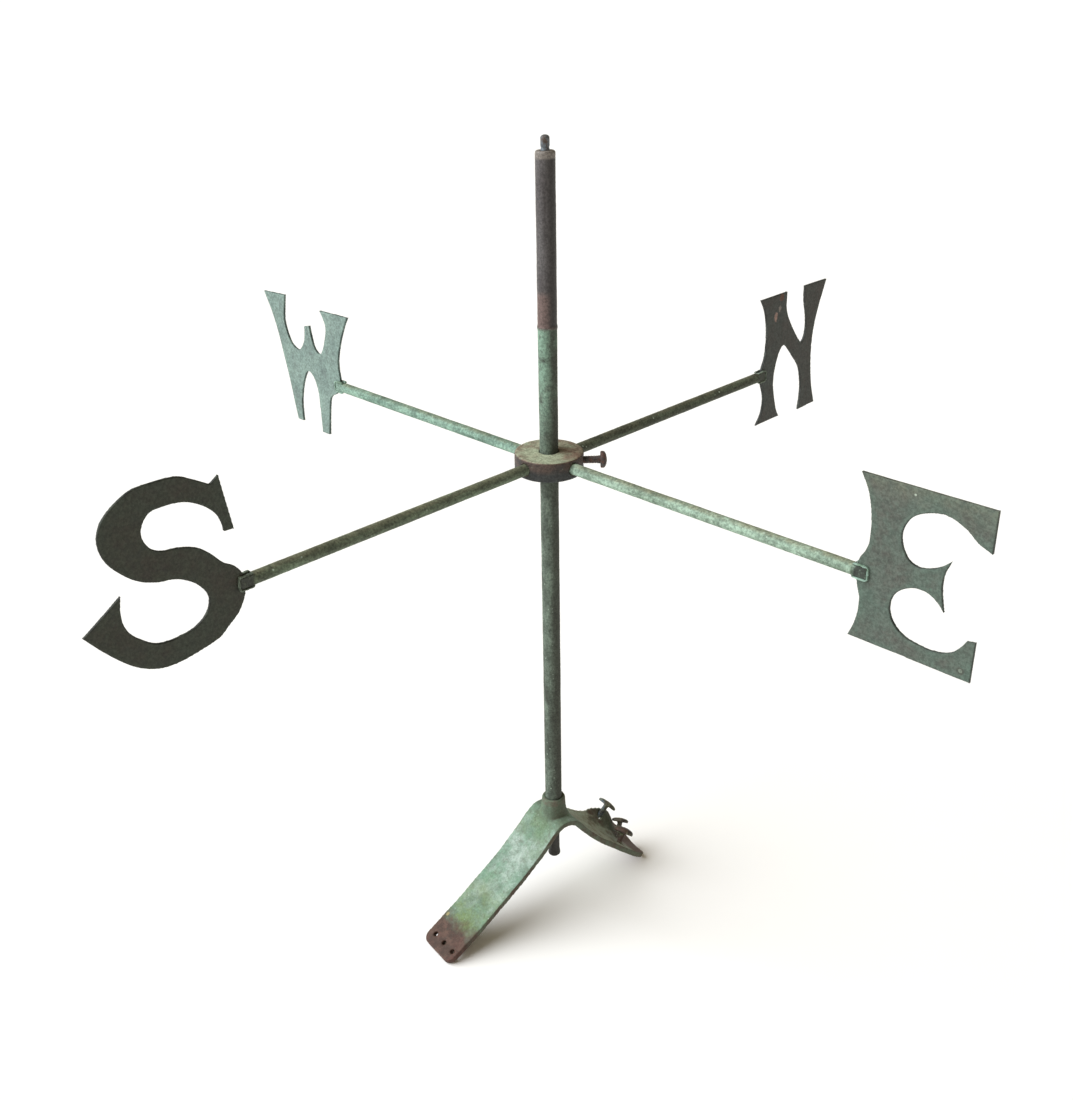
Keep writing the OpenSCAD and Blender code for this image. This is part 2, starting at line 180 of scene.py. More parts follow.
def make_patches():
    """Cloudy patches with ragged rims, covering about the stated share."""
    bench, given, made = shader_group(
        "patches",
        [("Vector", VECTOR, ORIGIN), ("Scale", FLOAT, 60.0), ("Amount", FLOAT, 0.5),
         ("Softness", FLOAT, 0.08), ("Shift", VECTOR, ORIGIN)],
        ["Mask"])
    moved = bench.put("ShaderNodeVectorMath", {0: given["Vector"], 1: given["Shift"]},
                      operation="ADD").outputs[0]
    broad = bench.noise(moved, given["Scale"], 5.0, 0.62)
    small = bench.noise(moved, bench.maths("MULTIPLY", given["Scale"], 7.0), 3.0, 0.6)
    both = bench.maths("MULTIPLY_ADD", small, 0.22, broad)
    limit = bench.maths("SUBTRACT", 0.86, bench.maths("MULTIPLY", given["Amount"], 0.5))
    low = bench.maths("SUBTRACT", limit, given["Softness"])
    high = bench.maths("ADD", limit, given["Softness"])
    bench.feed(made["Mask"], bench.fade(both, low, high))


def make_specks():
    """Small scattered specks."""
    bench, given, made = shader_group(
        "specks",
        [("Vector", VECTOR, ORIGIN), ("Scale", FLOAT, 500.0), ("Amount", FLOAT, 0.3),
         ("Size", FLOAT, 0.3)],
        ["Mask"])
    cells = bench.put("ShaderNodeTexVoronoi", {"Vector": given["Vector"], "Scale": given["Scale"]})
    chosen = bench.put("ShaderNodeSeparateColor", {"Color": cells.outputs["Color"]}).outputs[0]
    kept = bench.maths("LESS_THAN", chosen, given["Amount"])
    inner = bench.maths("MULTIPLY", given["Size"], 0.4)
    dot = bench.fade(cells.outputs["Distance"], given["Size"], inner)
    bench.feed(made["Mask"], bench.maths("MULTIPLY", kept, dot))


def make_skin():
    """Height of a corroded skin: grain, scattered pits, and how deep they are."""
    bench, given, made = shader_group(
        "skin",
        [("Vector", VECTOR, ORIGIN), ("Grain", FLOAT, 900.0), ("Pit Scale", FLOAT, 420.0),
         ("Pit Depth", FLOAT, 0.6)],
        ["Height", "Pits"])
    grain = bench.noise(given["Vector"], given["Grain"], 5.0, 0.68)
    swell = bench.noise(given["Vector"], bench.maths("MULTIPLY", given["Grain"], 0.16), 3.0, 0.5)
    cells = bench.put("ShaderNodeTexVoronoi",
                      {"Vector": given["Vector"], "Scale": given["Pit Scale"]}).outputs["Distance"]
    hollow = bench.fade(cells, 0.34, 0.05)
    where = bench.fade(bench.noise(given["Vector"], 130.0, 3.0), 0.5, 0.64)
    pits = bench.maths("MULTIPLY", hollow, where)
    height = bench.maths("ADD", bench.maths("MULTIPLY", grain, 0.6), bench.maths("MULTIPLY", swell, 0.7))
    sunk = bench.maths("MULTIPLY", pits, given["Pit Depth"])
    bench.feed(made["Height"], bench.maths("SUBTRACT", height, sunk))
    bench.feed(made["Pits"], pits)


def make_worn():
    """Outer edges where the skin is rubbed, in broken stretches."""
    bench, given, made = shader_group(
        "worn",
        [("Vector", VECTOR, ORIGIN), ("Low", FLOAT, 0.53), ("High", FLOAT, 0.62),
         ("Broken", FLOAT, 0.5)],
        ["Mask"])
    sharp = bench.put("ShaderNodeNewGeometry").outputs["Pointiness"]
    edge = bench.fade(sharp, given["Low"], given["High"])
    gaps = bench.noise(given["Vector"], 170.0, 4.0, 0.6)
    kept = bench.fade(gaps, bench.maths("SUBTRACT", given["Broken"], 0.1),
                      bench.maths("ADD", given["Broken"], 0.1))
    bench.feed(made["Mask"], bench.maths("MULTIPLY", edge, kept))


def make_zone():
    """1 past a line across the piece, with a ragged border."""
    bench, given, made = shader_group(
        "zone",
        [("Vector", VECTOR, ORIGIN), ("Direction", VECTOR, UP), ("Start", FLOAT, 0.0),
         ("End", FLOAT, 0.01), ("Ragged", FLOAT, 0.004), ("Scale", FLOAT, 120.0)],
        ["Mask"])
    along = bench.put("ShaderNodeVectorMath", {0: given["Vector"], 1: given["Direction"]},
                      operation="DOT_PRODUCT").outputs["Value"]
    wobble = bench.maths("SUBTRACT", bench.noise(given["Vector"], given["Scale"], 4.0, 0.6), 0.5)
    place = bench.maths("MULTIPLY_ADD", wobble, given["Ragged"], along)
    bench.feed(made["Mask"], bench.fade(place, given["Start"], given["End"]))


def make_spot():
    """One ragged spot at a place on the piece."""
    bench, given, made = shader_group(
        "spot",
        [("Vector", VECTOR, ORIGIN), ("Centre", VECTOR, ORIGIN), ("Size", VECTOR, (0.003,) * 3),
         ("Ragged", FLOAT, 0.5), ("Scale", FLOAT, 500.0)],
        ["Mask"])
    away = bench.put("ShaderNodeVectorMath", {0: given["Vector"], 1: given["Centre"]},
                     operation="SUBTRACT").outputs[0]
    scaled = bench.put("ShaderNodeVectorMath", {0: away, 1: given["Size"]},
                       operation="DIVIDE").outputs[0]
    far = bench.put("ShaderNodeVectorMath", {0: scaled}, operation="LENGTH").outputs["Value"]
    wobble = bench.maths("SUBTRACT", bench.noise(given["Vector"], given["Scale"], 3.0), 0.5)
    reach = bench.maths("MULTIPLY_ADD", wobble, given["Ragged"], far)
    bench.feed(made["Mask"], bench.fade(reach, 1.0, 0.7))


def make_streaks():
    """Drawn-out streaks: noise squeezed by the stated stretch."""
    bench, given, made = shader_group(
        "streaks",
        [("Vector", VECTOR, ORIGIN), ("Stretch", VECTOR, (300.0, 300.0, 20.0)),
         ("Amount", FLOAT, 0.5), ("Softness", FLOAT, 0.08)],
        ["Mask"])
    squeezed = bench.put("ShaderNodeVectorMath", {0: given["Vector"], 1: given["Stretch"]},
                         operation="MULTIPLY").outputs[0]
    lines = bench.noise(squeezed, 1.0, 4.0, 0.6)
    limit = bench.maths("SUBTRACT", 0.75, bench.maths("MULTIPLY", given["Amount"], 0.5))
    low = bench.maths("SUBTRACT", limit, given["Softness"])
    high = bench.maths("ADD", limit, given["Softness"])
    bench.feed(made["Mask"], bench.fade(lines, low, high))


make_patches()
make_specks()
make_skin()
make_worn()
make_zone()
make_spot()
make_streaks()


def mask_value(bench, places, mask):
    """The value of one mask: a group's name, its settings, and what it reads."""
    name, settings = mask
    settings = dict(settings)
    invert = settings.pop("invert", False)
    strength = settings.pop("strength", 1.0)
    if name == "attribute":
        value = bench.put("ShaderNodeAttribute", attribute_name=settings["from"]).outputs["Fac"]
        value = bench.fade(value, settings["low"], settings["high"])
    else:
        node = bench.put("ShaderNodeGroup", node_tree=bpy.data.node_groups[name])
        reads = settings.pop("reads", "Object")
        bench.feed(node.inputs["Vector"], places[reads])
        for label, setting in settings.items():
            bench.feed(node.inputs[label], setting)
        value = node.outputs["Mask"]
    if invert:
        value = bench.maths("SUBTRACT", 1.0, value)
    if strength != 1.0:
        value = bench.maths("MULTIPLY", value, strength)
    return value


MOTTLE_SCALE = 210.0
GRIT_SCALE = 640.0
PIT_SHADE = 0.45
PIT_TONE = 0.35
BARE_ROUGHNESS = 0.42
BARE_METALLIC = 0.6
SKIN_METALLIC = 0.05
RELIEF_HEIGHT = 0.0006
SPECULAR = 0.35


def aged_metal(name, ground, layers, roughness=0.62, grain=900.0, pits=420.0, pit_depth=0.6,
               relief=0.25, grit=0.24, bare=None, bare_edges=(0.54, 0.64, 0.5)):
    """Aged metal: two ground tones under layers of (colour, roughness, height, masks)."""
    material = bpy.data.materials.new(name)
    material.use_nodes = True
    tree = material.node_tree
    bench = Bench(tree)
    shader = tree.nodes["Principled BSDF"]
    places = bench.put("ShaderNodeTexCoord").outputs
    skin = bench.put("ShaderNodeGroup", node_tree=bpy.data.node_groups["skin"])
    bench.feed(skin.inputs["Vector"], places["Object"])
    bench.feed(skin.inputs["Grain"], grain)
    bench.feed(skin.inputs["Pit Scale"], pits)
    bench.feed(skin.inputs["Pit Depth"], pit_depth)
    dark, light = ground
    mottle = bench.fade(bench.noise(places["Object"], MOTTLE_SCALE, 5.0, 0.65), 0.36, 0.64)
    colour = bench.mix(mottle, dark, light)
    rough = bench.lean(mottle, roughness - 0.06, roughness + 0.06)
    height = skin.outputs["Height"]
    for tone, tone_rough, raised, masks in layers:
        cover = None
        for mask in masks:
            value = mask_value(bench, places, mask)
            cover = value if cover is None else bench.maths("MULTIPLY", cover, value)
        colour = bench.mix(cover, colour, tone)
        rough = bench.lean(cover, rough, tone_rough)
        if raised:
            height = bench.maths("MULTIPLY_ADD", cover, raised, height)
    shade = bench.maths("MULTIPLY", skin.outputs["Pits"], PIT_SHADE)
    colour = bench.mix(shade, colour, darker(dark, PIT_TONE))
    if bare:
        low, high, broken = bare_edges
        worn = bench.put("ShaderNodeGroup", node_tree=bpy.data.node_groups["worn"])
        bench.feed(worn.inputs["Vector"], places["Object"])
        bench.feed(worn.inputs["Low"], low)
        bench.feed(worn.inputs["High"], high)
        bench.feed(worn.inputs["Broken"], broken)
        colour = bench.mix(worn.outputs["Mask"], colour, bare)
        rough = bench.lean(worn.outputs["Mask"], rough, BARE_ROUGHNESS)
        metal = bench.maths("MULTIPLY_ADD", worn.outputs["Mask"], BARE_METALLIC, SKIN_METALLIC)
        bench.feed(shader.inputs["Metallic"], metal)
    grit_tone = bench.fade(bench.noise(places["Object"], GRIT_SCALE, 4.0, 0.72), 0.36, 0.64)
    strength = bench.maths("MULTIPLY_ADD", grit_tone, 2 * grit, 1 - grit)
    colour = bench.put("ShaderNodeVectorMath", {0: colour, "Scale": strength},
                       operation="SCALE").outputs["Vector"]
    bump = bench.put("ShaderNodeBump",
                     {"Strength": relief, "Distance": RELIEF_HEIGHT, "Height": height})
    bench.feed(shader.inputs["Base Color"], colour)
    bench.feed(shader.inputs["Roughness"], rough)
    bench.feed(shader.inputs["Normal"], bump.outputs["Normal"])
    shader.inputs["Specular IOR Level"].default_value = SPECULAR
    return material


def patches(scale, amount, softness=0.08, shift=0.0, **more):
    return ("patches", {"Scale": scale, "Amount": amount, "Softness": softness,
                        "Shift": (shift, 0.7 * shift, -shift), **more})


def specks(scale, amount, size=0.3, **more):
    return ("specks", {"Scale": scale, "Amount": amount, "Size": size, **more})


def zone(direction, start, end, ragged=0.004, scale=120.0, **more):
    return ("zone", {"Direction": direction, "Start": start, "End": end, "Ragged": ragged,
                     "Scale": scale, **more})


def facing(direction, start, end, ragged=0.5, scale=90.0, **more):
    """Where the skin faces a direction."""
    return zone(direction, start, end, ragged, scale, reads="Normal", **more)


def spot(centre, size, ragged=0.5, scale=500.0, **more):
    sizes = (size,) * 3 if isinstance(size, float) else size
    return ("spot", {"Centre": centre, "Size": sizes, "Ragged": ragged, "Scale": scale, **more})


def streaks(stretch, amount, softness=0.08, **more):
    return ("streaks", {"Stretch": stretch, "Amount": amount, "Softness": softness, **more})


def rim(low, high, **more):
    """Near the cut edge of a plate; distances in millimetres."""
    return ("attribute", {"from": "rim_distance", "low": low, "high": high, "invert": True, **more})


# ---- Finishes ----

SADDLE_FLANK = (0.988, -0.156, 0.0)
# the far leg, which its finish paints lighter as painted light
FAR_LEG = zone(SADDLE_RUN, 0.010, 0.026, 0.01)
FAR_TIP = zone(SADDLE_RUN, 0.060, 0.070, 0.012)
NEAR_END = zone(SADDLE_RUN, -0.084, -0.097, 0.014)
NEAR_LOW = zone(SADDLE_RUN, -0.045, -0.088, 0.02)
# painted shade on faces turned down
UNDERSIDE = facing(UP, 0.0, -0.35, 0.25)
FLANKS = facing(SADDLE_FLANK, 0.5, 0.8, 0.2)
CROWN = zone(UP, 0.052, 0.07, 0.02)
BOSS = zone(UP, 0.074, 0.084, 0.006)
BOSS_TOP = zone(UP, 0.0905, 0.092, 0.002)

saddle_finish = aged_metal(
    "saddle_verdigris",
    (paint(106, 129, 114), paint(126, 149, 134)),
    [
        (paint(148, 169, 155), 0.86, 0.3, [patches(40, 0.54, 0.16)]),
        (paint(166, 180, 172), 0.86, 0.1, [patches(26, 0.48, 0.14, 7.7, strength=0.8)]),
        (paint(98, 138, 112), 0.82, 0.0, [patches(36, 0.48, 0.12, 5.3, strength=0.7)]),
        (paint(90, 112, 96), 0.8, 0.0, [patches(80, 0.38, 0.16, 1.3, strength=0.7)]),
        (paint(98, 118, 88), 0.8, 0.0,
         [CROWN, patches(60, 0.5, 0.16, 4.4, strength=0.8)]),
        (paint(86, 88, 74), 0.8, 0.0, [patches(220, 0.3, 0.12, 3.1, strength=0.5)]),
        (paint(92, 110, 86), 0.84, 0.1, [NEAR_LOW, patches(50, 0.6, 0.25, 6.1)]),
        (paint(108, 126, 74), 0.84, 0.1, [NEAR_LOW, patches(60, 0.48, 0.16, 2.1, strength=0.75)]),
        (paint(156, 174, 158), 0.9, 0.2, [specks(380, 0.2, 0.3), patches(60, 0.5)]),
        # painted shade: the underside and the hidden inner curve are coloured dark where they face down
        (paint(52, 60, 52), 0.75, 0.0, [UNDERSIDE]),
        # the far leg: painted light, in lighter grey-green tones, with browner patches
        (paint(144, 149, 132), 0.78, 0.1, [FAR_LEG]),
        (paint(156, 170, 152), 0.8, 0.1, [FAR_LEG, patches(80, 0.42, 0.16, 4.0)]),
        (paint(98, 88, 72), 0.76, 0.0, [FAR_LEG, patches(130, 0.36, 0.14, 8.0, strength=0.8)]),
        (paint(92, 72, 60), 0.7, 0.0, [FAR_TIP]),
        # dull flanks along the edge of the strip, brown in places
        (paint(92, 102, 86), 0.7, 0.0, [FLANKS, patches(90, 0.85, 0.2, 5.0)]),
        (paint(82, 66, 55), 0.7, 0.0, [FLANKS, patches(50, 0.42, 0.14, 1.0)]),
        # grey-green boss with a faint reddish ring round the top
        (paint(84, 96, 80), 0.78, 0.0, [BOSS, patches(90, 0.75, 0.25, 9.0)]),
        (paint(96, 80, 70), 0.7, 0.0,
         [BOSS_TOP, patches(130, 0.55, 0.2, 2.5, strength=0.7)]),
        # red-brown end of the near leg
        (paint(65, 48, 39), 0.66, -0.2, [NEAR_END]),
        (paint(90, 68, 58), 0.7, 0.1, [NEAR_END, patches(150, 0.4, 0.1, 3.3)]),
        (paint(92, 56, 48), 0.7, 0.0, [NEAR_END, patches(60, 0.4, 0.12, 5.6, strength=0.6)]),
        (paint(144, 136, 98), 0.85, 0.2, [spot(NEAR_END_CHIP, 0.002, 0.8)]),
    ],
    roughness=0.8, relief=0.45, grain=520.0, grit=0.13, bare=paint(80, 68, 55))

# painted shade: the mast's side turned away from the light
SHADED = facing((0.7, 0.7, 0.0), -0.35, 0.6, 0.3)
ABOVE_HUB = zone(UP, 0.365, 0.44, 0.03)
SPINDLE = zone(UP, BEAD_HEIGHT - 0.002, BEAD_HEIGHT, 0.001)
FROM_BEAD = zone(UP, BEAD_HEIGHT - 0.003, BEAD_HEIGHT, 0.001)
NEAR_BEAD = zone(UP, BEAD_HEIGHT + 0.024, BEAD_HEIGHT + 0.018, 0.004)
SHOULDER = zone(UP, 0.5665, 0.5685, 0.002)
# the mast's end inside the boss and under the saddle, coloured as painted shade
TAIL = zone(UP, 0.086, 0.080, 0.002)

mast_finish = aged_metal(
    "mast_bronze",
    (paint(67, 76, 67), paint(88, 98, 87)),
    [
        (paint(108, 122, 109), 0.86, 0.3, [streaks((160, 160, 60), 0.44, 0.16)]),
        (paint(56, 61, 53), 0.72, 0.0, [streaks((120, 120, 34), 0.38, 0.18)]),
        (paint(116, 142, 125), 0.88, 0.3,
         [patches(110, 0.62, 0.12), ABOVE_HUB]),
        (paint(140, 156, 141), 0.9, 0.2, [specks(420, 0.16, 0.3)]),
        # painted shade down the mast's side turned away from the light
        (paint(62, 66, 58), 0.74, 0.0, [SHADED, patches(60, 0.85, 0.3, 1.4)]),
        # spindle: dark and smooth where a tube sheltered it, with painted shade on its side away from the
        # light
        (paint(85, 82, 82), 0.55, -0.3, [SPINDLE]),
        (paint(68, 64, 64), 0.5, -0.1, [SPINDLE, streaks((160, 160, 26), 0.5, 0.14)]),
        (paint(99, 83, 79), 0.6, 0.0, [FROM_BEAD, NEAR_BEAD]),
        # painted shade on the spindle's side away from the light
        (paint(52, 49, 48), 0.52, 0.0, [SPINDLE, SHADED]),
        (paint(116, 110, 104), 0.5, 0.0, [SHOULDER]),
        # painted shade on the mast's end inside the boss and under the saddle
        (paint(54, 54, 51), 0.55, 0.0, [TAIL]),
    ],
    roughness=0.74, relief=0.35, grit=0.3, bare=paint(104, 92, 78), bare_edges=(0.53, 0.6, 0.45))

pin_finish = aged_metal(
    "pin_steel",
    (paint(80, 86, 91), paint(101, 109, 114)),
    [(paint(78, 66, 58), 0.6, 0.0, [patches(300, 0.4)])],
    roughness=0.42, relief=0.12, pit_depth=0.3, bare=paint(150, 148, 146))

HUB_TOP = facing(UP, 0.55, 0.85, 0.15)
HUB_EDGE = facing(UP, 0.15, 0.45, 0.2)
HUB_UPPER_SIDE = zone(UP, 0.3695, 0.3745, 0.003)
HUB_CRUST = spot((0.0045, -0.0095, 0.379), (0.021, 0.0125, 0.02), 0.9, 110.0)

hub_finish = aged_metal(
    "hub_bronze",
    (paint(40, 43, 44), paint(55, 57, 56)),
    [
        (paint(76, 62, 55), 0.6, 0.0, [HUB_UPPER_SIDE, patches(90, 0.7, 0.25)]),
        (paint(96, 76, 66), 0.6, 0.0, [HUB_EDGE, patches(90, 0.7, 0.2, 2.0)]),
        (paint(118, 112, 94), 0.72, 0.1, [HUB_TOP]),
        (paint(116, 94, 80), 0.68, 0.0, [HUB_TOP, patches(70, 0.55, 0.16, 5.0)]),
        (paint(156, 164, 138), 0.86, 0.3, [HUB_TOP, HUB_CRUST, patches(95, 0.7, 0.3)]),
        (paint(158, 168, 142), 0.88, 0.3, [HUB_TOP, patches(75, 0.42, 0.18, 1.0, strength=0.8)]),
        (paint(106, 130, 115), 0.86, 0.2, [specks(380, 0.25, 0.35), patches(120, 0.4)]),
    ],
    roughness=0.6, relief=0.35, grain=620.0, grit=0.3, bare=paint(118, 96, 84),
    bare_edges=(0.53, 0.6, 0.42))

set_screw_finish = aged_metal(
    "screw_brown",
    (paint(66, 57, 55), paint(84, 74, 70)),
    [(paint(74, 71, 69), 0.6, 0.0, [patches(240, 0.45)]),
     (paint(98, 70, 60), 0.8, 0.2, [patches(320, 0.42, 0.1, 2.0)])],
    roughness=0.66, relief=0.4, bare=paint(122, 108, 100))


def roof_screw_finish(name, dark, light, painted_side_tone, where):
    """Loosened screw: two tones, and a painted tone on one side of its head that stands for the light and
    shade on that side.
    """
    return aged_metal(
        name, (dark, light),
        [(painted_side_tone, 0.66, 0.0, [where, patches(170, 0.85, 0.2)]),
         (paint(118, 126, 100), 0.84, 0.2, [patches(210, 0.3, 0.1, 3.0)]),
         (paint(54, 49, 46), 0.6, 0.0, [patches(140, 0.34, 0.12, 6.0)])],
        roughness=0.66, relief=0.35, bare=paint(118, 110, 94))


ACROSS = (0.7, 0.714, 0.0)
BACK_ACROSS = (-0.7, -0.714, 0.0)
roof_screw_finishes = {
    # painted sheen: bluish grey on the side of the head toward the light
    "roof_screw_1": roof_screw_finish("screw_bronze_grey", paint(80, 80, 66), paint(102, 98, 82),
                                      paint(78, 90, 98), zone(BACK_ACROSS, -0.0435, -0.0405, 0.002)),
    # painted shade: darker on the side of the head away from the light
    "roof_screw_2": roof_screw_finish("screw_bronze_brown", paint(88, 84, 74), paint(110, 104, 92),
                                      paint(70, 62, 58), zone(ACROSS, 0.055, 0.058, 0.002)),
    # painted highlight: a lighter red-brown on the head's upward, forward face
    "roof_screw_3": roof_screw_finish("screw_bronze_red", paint(64, 56, 52), paint(82, 73, 67),
                                      paint(84, 66, 56), facing((0.4, -0.6, 0.6), 0.1, 0.6, 0.4)),
}


def arm_finish(name, dark, light, top, crust, share, outward, paddle, window):
    """Rod finish: streaked tarnish, a browner upper edge and pale crust."""
    across = (30, 260, 260) if outward[0] else (260, 30, 260)
    middle = tuple((paddle + 0.005) * part for part in outward[:2]) + (HUB_MIDDLE,)
    return aged_metal(
        name, (dark, light),
        [(crust, 0.88, 0.3, [streaks(across, share, 0.16)]),
         (top, 0.7, 0.0,
          [facing(UP, 0.45, 0.95, 0.5, 70.0), patches(75, 0.7, 0.2, 1.5, strength=0.8)]),
         (darker(dark, 0.55), 0.7, 0.0, [patches(140, 0.4, 0.14, 2.5, strength=0.6)]),
         (paint(160, 176, 160), 0.9, 0.3, [specks(360, 0.2, 0.3), patches(50, 0.5)]),
         # flattened end inside its rim of braze, with a paler mark
         (window, 0.7, 0.0, [zone(outward, paddle, paddle + 0.002, 0.002), patches(300, 0.8, 0.2)]),
         (crust, 0.8, 0.2, [spot(middle, 0.0019, 1.2, 900.0)])],
        roughness=0.76, relief=0.35, grit=0.3, bare=paint(124, 114, 92))


arm_finishes = {
    "east": arm_finish("arm_verdigris_east", paint(112, 132, 114), paint(140, 160, 142),
                       paint(122, 122, 98), paint(152, 176, 158), 0.5, (1.0, 0.0, 0.0),
                       PADDLE_START, paint(50, 56, 50)),
    "west": arm_finish("arm_verdigris_west", paint(98, 125, 111), paint(119, 150, 135),
                       paint(112, 118, 95), paint(140, 170, 153), 0.5, (-1.0, 0.0, 0.0),
                       WEST_PADDLE_START, paint(116, 140, 127)),
    # painted shade: the north and south rods' darker tones are partly their own tarnish and partly shade on
    # the sides they turn away from the light
    "north": arm_finish("arm_painted_shade_north", paint(62, 66, 54), paint(80, 84, 70),
                        paint(92, 92, 74), paint(94, 106, 88), 0.4, (0.0, 1.0, 0.0),
                        PADDLE_START, paint(66, 70, 62)),
    "south": arm_finish("arm_painted_shade_south", paint(77, 84, 69), paint(100, 109, 90),
                        paint(108, 108, 86), paint(112, 127, 106), 0.42, (0.0, -1.0, 0.0),
                        PADDLE_START, paint(62, 66, 60)),
}


def plate_finish(name, dark, light, brown, edge, edge_share, marks=()):
    """Letter finish: grey-green tarnish, brown clouds and a greener rim."""
    return aged_metal(
        name, (dark, light),
        [(brown, 0.66, 0.0, [patches(34, 0.44, 0.2, 0.9, strength=0.85)]),
         (brown, 0.66, 0.0, [patches(150, 0.36, 0.14, 3.9, strength=0.7)]),
         (light, 0.72, 0.1, [patches(260, 0.4, 0.14, 5.2, strength=0.9)]),
         (edge, 0.78, 0.1, [patches(26, 0.4, 0.2, 6.6, strength=0.7)]),
         (edge, 0.8, 0.2, [rim(0.6, 4.5), patches(60, 0.5, 0.3, 1.9, strength=edge_share)]),
         (edge, 0.84, 0.2, [specks(300, 0.16, 0.3), patches(60, 0.45)]),
         (darker(dark, 0.45), 0.6, 0.0, [rim(0.0, 0.8), patches(120, 0.6, 0.14, 7.0)]),
         *marks],
        roughness=0.7, relief=0.2, pits=300.0, bare=paint(110, 110, 97),
        grit=0.24, bare_edges=(0.56, 0.66, 0.52))


letter_finishes = {
    "e": plate_finish("letter_plate_e", paint(69, 77, 71), paint(84, 92, 84),
                      paint(76, 74, 68), paint(80, 99, 88), 0.5,
                      [(paint(100, 104, 88), 0.7, 0.0,
                        [zone(UP, 0.412, 0.436, 0.012), patches(150, 0.6, 0.25, 2.2, strength=0.7)]),
                       (paint(150, 160, 146), 0.7, 0.2, [spot(E_DOT, 0.0008)]),
                       (paint(64, 67, 60), 0.6, 0.0, [spot(E_MARK, 0.0026, 0.4, strength=0.8)]),
                       (paint(104, 114, 102), 0.7, 0.2, [spot(E_MARK, 0.0013, 0.4)])]),
    "w": plate_finish("letter_plate_w", paint(94, 114, 109), paint(118, 138, 131),
                      paint(96, 108, 105), paint(138, 160, 150), 0.35),
    # painted shade, in part: the north letter's darker tones are partly its own tarnish and partly shade on
    # the face it turns away from the light
    "n": plate_finish("letter_plate_n", paint(58, 61, 58), paint(71, 74, 70),
                      paint(68, 62, 58), paint(72, 79, 76), 0.4,
                      [(paint(92, 68, 56), 0.7, 0.0, [spot(N_PATCH, (0.0014, 0.0034, 0.0034), 0.9, 300.0)]),
                       (paint(144, 118, 108), 0.6, 0.0,
                        [spot(N_SCRATCHES[0], (0.0014, 0.0024, 0.0046), 1.0, 600.0)]),
                       (paint(112, 106, 100), 0.6, 0.0,
                        [spot(N_SCRATCHES[1], (0.0014, 0.002, 0.003), 1.2, 600.0)])]),
    # painted shade, in part: the south letter's darker tones are partly its own tarnish and partly shade on
    # the face it turns away from the light
    "s": plate_finish("letter_plate_s", paint(49, 53, 46), paint(62, 65, 55),
                      paint(58, 53, 46), paint(62, 71, 62), 0.5),
}

# the braze in two copies: this one for the east and west rods
braze_light = aged_metal(
    "braze_light",
    (paint(114, 138, 125), paint(142, 168, 154)),
    [(paint(96, 118, 100), 0.8, 0.0, [patches(260, 0.4)])],
    roughness=0.85, relief=0.5, grain=700.0)
# painted shade: a darker copy of the same braze for the north and south rods, whose seen sides face away
# from the light
braze_painted_shade = aged_metal(
    "braze_painted_shade",
    (paint(70, 78, 68), paint(96, 106, 94)),
    [(paint(128, 142, 128), 0.84, 0.2, [patches(260, 0.36)])],
    roughness=0.78, relief=0.5, grain=700.0)


# ---- Shapes ----


def fine_copy(node, voxel, passes):
    """A closed, evenly meshed copy of a CAD node with its sharp edges eased."""
    source = bmesh.new()
    source.from_mesh(frame["nodes"][node].data)
    bmesh.ops.remove_doubles(source, verts=source.verts, dist=0.001 * MM)
    blank = bpy.data.meshes.new(node + "_blank")
    source.to_mesh(blank)
    source.free()
    holder = bpy.data.objects.new(node + "_blank", blank)
    bpy.context.scene.collection.objects.link(holder)
    remesh = holder.modifiers.new("even mesh", "REMESH")
    remesh.mode = "VOXEL"
    remesh.voxel_size = voxel * MM
    depsgraph = bpy.context.evaluated_depsgraph_get()
    even = bpy.data.meshes.new_from_object(holder.evaluated_get(depsgraph))
    bpy.data.objects.remove(holder)
    bpy.data.meshes.remove(blank)
    shape = bmesh.new()
    shape.from_mesh(even)
    bpy.data.meshes.remove(even)
    for _ in range(passes):
        bmesh.ops.smooth_vert(shape, verts=shape.verts, factor=0.5,
                              use_axis_x=True, use_axis_y=True, use_axis_z=True)
    return shape


def roughen(shape, swell, grain, swell_size, grain_size, inward=False):
    """Moves the skin along its normals by broad dents and fine corrosion, in millimetres."""
    shape.normal_update()
    moves = []
    for vert in shape.verts:
        broad = noise.noise(vert.co / (swell_size * MM))
        fine = noise.noise(vert.co / (grain_size * MM) + Vector((9.1, 4.3, 2.7)))
        move = swell * broad + grain * fine
        if inward:
            move = min(move - 0.6 * swell, 0.0)
        moves.append(vert.normal * (move * MM))
    for vert, move in zip(shape.verts, moves):
        vert.co += move


THREAD_CORE = 0.3
THREAD_CREST = 1.08
GROOVE_SHAPE = 0.7


def cut_thread(shape, foot, direction, length, radius, pitch, depth):
    """Presses a screw thread into the shank that starts at foot, all in metres."""
    axis = Vector(direction).normalized()
    side = axis.orthogonal().normalized()
    other = axis.cross(side)
    for vert in shape.verts:
        away = vert.co - Vector(foot)
        along = away.dot(axis)
        out = away - axis * along
        on_shank = THREAD_CORE * radius < out.length < THREAD_CREST * radius
        if not 0 <= along <= length or not on_shank:
            continue
        turn = math.atan2(out.dot(other), out.dot(side)) / (2 * math.pi)
        groove = 0.5 - 0.5 * math.cos(2 * math.pi * (along / pitch - turn))
        ends = min(1.0, along / pitch, (length - along) / pitch)
        vert.co -= out.normalized() * (depth * groove ** GROOVE_SHAPE * ends)


